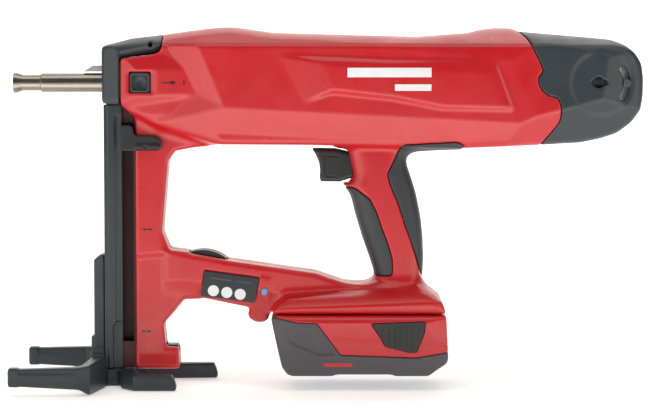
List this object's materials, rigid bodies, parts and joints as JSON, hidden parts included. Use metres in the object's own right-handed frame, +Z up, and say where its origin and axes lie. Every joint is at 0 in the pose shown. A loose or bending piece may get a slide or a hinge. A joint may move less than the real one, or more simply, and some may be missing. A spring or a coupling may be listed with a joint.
{
  "type": "battery-actuated nail gun",
  "caption": "Cordless construction nail gun with a long red body, upright front magazine, forked support leg, pistol handle with trigger, and a slide-in battery under a lower arm.",
  "frame": {"origin": "centre of the overall box, at floor level under the support leg", "axes": "+X from the nose to the rear cap along the driving axis, +Z up, Y = 0 is the split plane of the shells, and the side with the thumb slider faces -Y"},
  "size_m": [0.476, 0.124, 0.2717],
  "materials": {
    "red_shell": "satin moulded red",
    "dark_shell": "fine-textured dark grey",
    "grip_rubber": "soft overmoulded grip",
    "black_plastic": "moulded black",
    "pack_dark": "textured grey",
    "nose_steel": "turned steel",
    "steel": "ground steel",
    "spring_steel": "drawn wire",
    "die_cast": "die cast",
    "bronze": "machined",
    "elastomer": "polyurethane",
    "stator_steel": "laminated",
    "board_green": "solder mask",
    "cell_sleeve": "shrink sleeve",
    "wire_red": "insulation",
    "label_black": "printed label",
    "label_white": "printed disc",
    "light_blue": "light window",
    "screw_steel": "blackened steel"
  },
  "bodies": {
    "tool": {"housing_left": "red_shell", "housing_right": "red_shell", "rear_cap": "dark_shell", "front_frame": "dark_shell", "front_grip_pad": "grip_rubber", "rear_grip_pad": "grip_rubber", "housing_screws": "screw_steel", "label_panel": "label_black", "label_discs": "label_white", "status_light": "light_blue", "lanyard_pin": "screw_steel", "guide_block": "die_cast", "nose_spring": "spring_steel", "buffer": "elastomer", "main_spring": "spring_steel", "guide_tube": "die_cast", "front_bulkhead": "die_cast", "spring_seat": "die_cast", "bearing_carrier": "die_cast", "tie_rods": "steel", "spindle_bearing": "steel", "ring_gear": "steel", "motor_stator": "stator_steel", "motor_end_plates": "die_cast", "trigger_spring": "spring_steel", "trigger_switch": "black_plastic", "release_button_spring": "spring_steel", "control_board": "board_green", "board_capacitors": "black_plastic", "terminal_block": "black_plastic", "wiring_loom": "wire_red", "magazine_rail": "dark_shell", "magazine_liner": "black_plastic"},
    "nose": {"fastener_guide": "nose_steel"},
    "ram": {"driver_blade": "steel", "piston": "die_cast", "spindle_nut": "bronze"},
    "screw": {"spindle": "steel"},
    "planet_a": {"planet_gear_1": "bronze"},
    "planet_b": {"planet_gear_2": "bronze"},
    "planet_c": {"planet_gear_3": "bronze"},
    "rotor": {"motor_rotor": "steel", "sun_gear": "steel", "cooling_fan": "black_plastic"},
    "trigger_lever": {"trigger": "black_plastic"},
    "side_button": {"release_button": "dark_shell"},
    "top_button": {"standby_button": "black_plastic"},
    "feeder": {"follower": "black_plastic", "follower_spring": "spring_steel"},
    "leg": {"support_leg": "dark_shell"},
    "leg_lock": {"leg_catch": "black_plastic"},
    "battery": {"battery_case_upper": "red_shell", "battery_case_lower": "pack_dark", "battery_cells": "cell_sleeve", "battery_board": "board_green", "battery_contacts": "black_plastic", "battery_spring_left": "spring_steel", "battery_spring_right": "spring_steel"},
    "latch_left": {"battery_latch_left": "black_plastic"},
    "latch_right": {"battery_latch_right": "black_plastic"}
  },
  "joints": [
    {"name": "motor_spin", "type": "hinge", "parent": "tool", "child": "rotor", "pos_m": [0.19, 0, 0.23], "axis": [1, 0, 0], "range_deg": [0, 15268]},
    {"name": "screw_spin", "type": "hinge", "parent": "tool", "child": "screw", "pos_m": [0.1, 0, 0.23], "axis": [1, 0, 0], "range_deg": [0, 3817]},
    {"name": "planet_spin_a", "type": "hinge", "parent": "screw", "child": "planet_a", "pos_m": [0.1755, 0.012, 0.23], "axis": [1, 0, 0], "range_deg": [-11451, 0]},
    {"name": "planet_spin_b", "type": "hinge", "parent": "screw", "child": "planet_b", "pos_m": [0.1755, -0.006, 0.24039], "axis": [1, 0, 0], "range_deg": [-11451, 0]},
    {"name": "planet_spin_c", "type": "hinge", "parent": "screw", "child": "planet_c", "pos_m": [0.1755, -0.006, 0.21961], "axis": [1, 0, 0], "range_deg": [-11451, 0]},
    {"name": "ram_stroke", "type": "slide", "parent": "tool", "child": "ram", "axis": [1, 0, 0], "range_m": [0, 0.106], "deforming": ["main_spring"]},
    {"name": "nose_press", "type": "slide", "parent": "tool", "child": "nose", "axis": [1, 0, 0], "range_m": [0, 0.004], "stiffness_N_per_m": 900, "springref_m": -0.004, "deforming": ["nose_spring"]},
    {"name": "trigger_pull", "type": "slide", "parent": "tool", "child": "trigger_lever", "axis": [1, 0, 0], "range_m": [0, 0.006], "stiffness_N_per_m": 600, "springref_m": -0.003, "deforming": ["trigger_spring"]},
    {"name": "side_button_press", "type": "slide", "parent": "tool", "child": "side_button", "axis": [0, 1, 0], "range_m": [0, 0.0025], "stiffness_N_per_m": 500, "springref_m": -0.001, "deforming": ["release_button_spring"]},
    {"name": "top_button_press", "type": "slide", "parent": "tool", "child": "top_button", "axis": [-0.1771, 0, -0.9842], "range_m": [0, 0.0015], "stiffness_N_per_m": 700, "springref_m": -0.0005},
    {"name": "feeder_slide", "type": "slide", "parent": "tool", "child": "feeder", "axis": [0, 0, -1], "range_m": [0, 0.138], "stiffness_N_per_m": 15, "springref_m": -0.3, "deforming": ["follower_spring"]},
    {"name": "leg_slide", "type": "slide", "parent": "tool", "child": "leg", "axis": [0, 0, -1], "range_m": [0, 0.1]},
    {"name": "leg_catch_press", "type": "slide", "parent": "tool", "child": "leg_lock", "axis": [-1, 0, 0], "range_m": [0, 0.002], "stiffness_N_per_m": 500, "springref_m": -0.001},
    {"name": "battery_slide", "type": "slide", "parent": "tool", "child": "battery", "axis": [1, 0, 0], "range_m": [0, 0.13]},
    {"name": "latch_left_press", "type": "slide", "parent": "battery", "child": "latch_left", "axis": [0, 1, 0], "range_m": [0, 0.002], "stiffness_N_per_m": 500, "springref_m": -0.001, "deforming": ["battery_spring_left"]},
    {"name": "latch_right_press", "type": "slide", "parent": "battery", "child": "latch_right", "axis": [0, -1, 0], "range_m": [0, 0.002], "stiffness_N_per_m": 500, "springref_m": -0.001, "deforming": ["battery_spring_right"]}
  ],
  "couplings": [
    {"joint": "screw_spin", "follows": "ram_stroke", "rad_per_m": 628.32},
    {"joint": "motor_spin", "follows": "ram_stroke", "rad_per_m": 2513.3},
    {"joint": "planet_spin_a", "follows": "ram_stroke", "rad_per_m": -1885},
    {"joint": "planet_spin_b", "follows": "ram_stroke", "rad_per_m": -1885},
    {"joint": "planet_spin_c", "follows": "ram_stroke", "rad_per_m": -1885}
  ]
}
